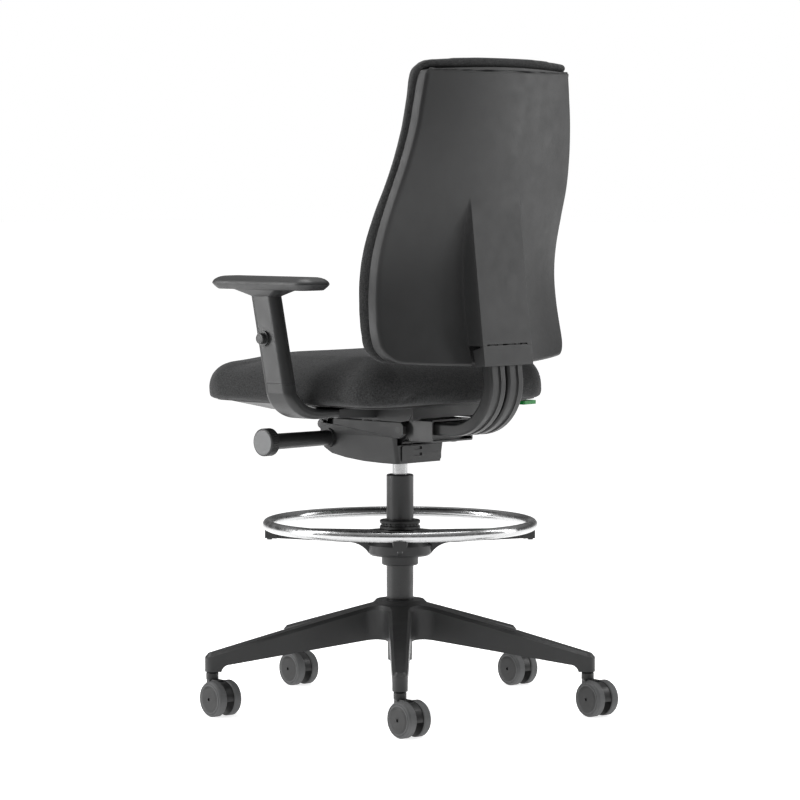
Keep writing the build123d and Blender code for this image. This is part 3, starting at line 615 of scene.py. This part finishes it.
def moulded_wall(name, work):
    """Faces a skin to the rear and gives it the shell's thickness on the inside."""
    bmesh.ops.recalc_face_normals(work, faces=work.faces)
    rearmost = max(work.faces, key=lambda f: f.calc_center_median().y)
    if rearmost.normal.y < 0:
        bmesh.ops.reverse_faces(work, faces=work.faces)
    piece = object_from(name, work)
    wall = piece.modifiers.new("wall", "SOLIDIFY")
    wall.thickness = SHELL_THICK
    wall.offset = -1
    applied(piece)
    piece.data.shade_smooth()
    piece.data.set_sharp_from_angle(angle=math.radians(42))
    return piece


def rear_shell():
    mesh = bmesh.new()
    rows = [0.5 - 0.5 * math.cos(math.pi * k / 120) for k in range(121)]
    side = shell_columns()
    columns = [(-1, c) for c in reversed(side)] + [(1, c) for c in side[1:]]
    points = []
    for t in rows:
        z_middle = SHELL_BOTTOM + (SHELL_TOP - SHELL_BOTTOM) * t
        half = back_form(z_middle)[2] - SHELL_INSET
        half -= corner_cut(z_middle, SHELL_BOTTOM, SHELL_TOP, 0.032, 0.003)
        line = []
        for sign, column in columns:
            x = sign * shell_column_x(column, half)
            line.append((x, low_edge(x) + (top_edge(x) - low_edge(x)) * t))
        points.append(line)
    count = len(columns)
    flat = [p for line in points for p in line]
    border = points[0][:-1] + [line[-1] for line in points] + [line[0] for line in reversed(points[1:])]
    depth = edge_distance(flat, border)
    verts = []
    for k, (x, z) in enumerate(flat):
        near_top = top_edge(x) - z
        radius = EDGE_ROUND if near_top > 0.008 else 0.0012 + 0.0043 * max(near_top, 0) / 0.008
        inside = min(depth[k], radius)
        drop = radius - math.sqrt(max(radius ** 2 - (radius - inside) ** 2, 0.0))
        verts.append(mesh.verts.new((x, rear_skin(x, z) - drop, z)))
    for row in range(len(rows) - 1):
        for column in range(count - 1):
            k = row * count + column
            x = sum(flat[i][0] for i in (k, k + 1, k + count, k + count + 1)) / 4
            z = sum(flat[i][1] for i in (k, k + 1, k + count, k + count + 1)) / 4
            if abs(x) < SPINE_HALF + 0.001 and z < SPINE_SPLIT:
                continue
            mesh.faces.new([verts[i] for i in (k, k + 1, k + count + 1, k + count)])
    outer = [e for e in mesh.edges if len(e.link_faces) == 1]
    outer = [
        e for e in outer
        if not all(abs(v.co.x) < SPINE_HALF + 0.004 and v.co.z < SPINE_SPLIT + 0.01 for v in e.verts)
        and not all(v.co.z > top_edge(v.co.x) - 0.0006 for v in e.verts)
    ]
    for share in (0.45, 1.0):
        made = bmesh.ops.extrude_edge_only(mesh, edges=outer)["geom"]
        for vertex in (g for g in made if isinstance(g, bmesh.types.BMVert)):
            x, z = vertex.co.x, vertex.co.z
            vertex.co.y = shell_rear(x, z) - EDGE_ROUND - (max(rim_depth(z), 0.006) - EDGE_ROUND) * share
        outer = [g for g in made if isinstance(g, bmesh.types.BMEdge)]
    loose = [v for v in mesh.verts if not v.link_faces]
    bmesh.ops.delete(mesh, geom=loose, context="VERTS")
    shell = moulded_wall("rear_shell", mesh)
    finish_piece(shell, "shell_plastic", "backrest", "back_shell", "spine_cover")


rear_shell()


def spine_cap():
    """The separate cap over the foot of the spine, with its seam sloping down the side walls."""
    mesh = bmesh.new()
    half = [0.0, 0.03, 0.054] + [0.0620 + 0.0006 * k for k in range(15)]
    xs = [-x for x in reversed(half[1:])] + half
    rows = 13
    grid = []
    for row in range(rows):
        line = []
        for x in xs:
            low = SHELL_BOTTOM + 0.0005
            slope = max(abs(x) - (SPINE_HALF - 0.005), 0) / 0.005
            high = SPINE_SPLIT - 0.0012 - 0.010 * min(slope, 1.0)
            z = low + (high - low) * row / (rows - 1)
            edge = min(row, rows - 1 - row) == 0
            y = rear_skin(x, z) - (0.0009 if edge else 0.0)
            line.append(mesh.verts.new((x, y, z)))
        grid.append(line)
    for row in range(rows - 1):
        for k in range(len(xs) - 1):
            mesh.faces.new((grid[row][k], grid[row][k + 1], grid[row + 1][k + 1], grid[row + 1][k]))
    finish_piece(moulded_wall("spine_foot", mesh), "shell_plastic", "backrest", "spine_cap")


spine_cap()


# arm pads
def arm_pad(side):
    node = f"arm_pad_{side}"
    low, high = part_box(node)
    middle_x = (low.x + high.x) / 2
    edge = low.z + 0.0105
    flat = rounded_rectangle((high.x - low.x) / 2, low.y, high.y, 0.027)

    def top(point, depth):
        crown = 0.0012 * smooth(depth / 0.04)
        rise = (high.z - edge - 0.001) * bulge(depth, 0.024, 2.0)
        return (point[0] + middle_x, point[1], edge + rise + crown)

    def bottom(point, depth):
        slope = min(depth / 0.011, 1.0)
        return (point[0] + middle_x, point[1], edge - (edge - low.z) * slope ** 0.8)

    data = pillow(f"{node}_skin", 45, 61, flat, top, bottom)
    piece = bpy.data.objects.new(f"{node}_skin", data)
    bpy.context.scene.collection.objects.link(piece)
    finer = piece.modifiers.new("finer", "SUBSURF")
    finer.levels = 1
    finer.render_levels = 1
    applied(piece)
    piece.data.shade_smooth()
    finish_piece(piece, "pad_rubber", f"arm_{side}", node)


for side in ("left", "right"):
    arm_pad(side)


# ---- stage --------------------------------------------------------------------------------------
CAMERA_AT = Vector((4.714, 4.395, 0.969))
CAMERA_PITCH = math.radians(3.56)
CAMERA_LENS = 157.3

camera_data = bpy.data.cameras.new("camera")
camera_data.lens = CAMERA_LENS
camera_data.sensor_width = 36.0
camera = bpy.data.objects.new("camera", camera_data)
bpy.context.scene.collection.objects.link(camera)
towards = Vector((-CAMERA_AT.x, -CAMERA_AT.y, 0)).normalized()
towards = towards * math.cos(CAMERA_PITCH) + Vector((0, 0, -math.sin(CAMERA_PITCH)))
camera.location = CAMERA_AT
camera.rotation_euler = towards.to_track_quat("-Z", "Y").to_euler()
bpy.context.scene.camera = camera

RIGHT = Vector((towards.y, -towards.x, 0)).normalized()
AWAY = Vector((towards.x, towards.y, 0)).normalized()


FLOOR_GLOW = 0.77                       # the floor's own light, which makes it white to the horizon


def stage_floor():
    mesh = bpy.data.meshes.new("floor")
    size = 60.0
    corners = [(-size, -size, 0), (size, -size, 0), (size, size, 0), (-size, size, 0)]
    mesh.from_pydata(corners, [], [(0, 1, 2, 3)])
    floor = bpy.data.objects.new("floor", mesh)
    bpy.context.scene.collection.objects.link(floor)
    s = Shader("floor", 0.35, specular=0.3)
    s.colour(s.ramp(s.noise(3.0), (0.93, 0.93, 0.93), (0.95, 0.95, 0.95)))
    s.shader.inputs["Emission Color"].default_value = (1, 1, 1, 1)
    s.shader.inputs["Emission Strength"].default_value = FLOOR_GLOW
    mesh.materials.append(s.material)


def stage_light(name, right, away, up, width, height, power, aim=(0, 0, 0.7)):
    data = bpy.data.lights.new(name, "AREA")
    data.shape = "RECTANGLE"
    data.size = width
    data.size_y = height
    data.energy = power
    light = bpy.data.objects.new(name, data)
    bpy.context.scene.collection.objects.link(light)
    light.location = RIGHT * right + AWAY * away + Vector((0, 0, up))
    light.rotation_euler = (Vector(aim) - light.location).to_track_quat("-Z", "Y").to_euler()
    return light


def stage_world():
    """White behind the object. What lights it is a bright ceiling over darker walls."""
    world = bpy.data.worlds.new("studio")
    bpy.context.scene.world = world
    world.use_nodes = True
    tree = world.node_tree
    background = tree.nodes["Background"]
    direction = tree.nodes.new("ShaderNodeTexCoord").outputs["Generated"]
    split = tree.nodes.new("ShaderNodeSeparateXYZ")
    tree.links.new(direction, split.inputs[0])
    walls = tree.nodes.new("ShaderNodeValToRGB")
    walls.color_ramp.elements[0].position = 0.02
    walls.color_ramp.elements[0].color = (0.30, 0.30, 0.30, 1)
    walls.color_ramp.elements[1].position = 0.85
    walls.color_ramp.elements[1].color = (0.50, 0.50, 0.50, 1)
    band = walls.color_ramp.elements.new(0.22)
    band.color = (0.08, 0.08, 0.08, 1)
    tree.links.new(split.outputs["Z"], walls.inputs["Fac"])
    mix = tree.nodes.new("ShaderNodeMix")
    mix.data_type = "RGBA"
    tree.links.new(tree.nodes.new("ShaderNodeLightPath").outputs["Is Camera Ray"], mix.inputs["Factor"])
    shades = [socket for socket in mix.inputs if socket.type == "RGBA"]
    tree.links.new(walls.outputs["Color"], shades[0])
    shades[1].default_value = (1, 1, 1, 1)
    result = next(out for out in mix.outputs if out.type == "RGBA")
    tree.links.new(result, background.inputs["Color"])
    background.inputs["Strength"].default_value = 1.0


stage_floor()
stage_world()
stage_light("softbox_left", -2.6, -0.2, 1.6, 0.7, 2.6, 62)
stage_light("softbox_top", 0.2, 0.2, 3.4, 2.2, 2.2, 75)
stage_light("strip_right", 2.6, 0.5, 1.5, 0.5, 2.4, 26)
bpy.context.scene.view_settings.view_transform = "Standard"
bpy.context.scene.view_settings.look = "None"
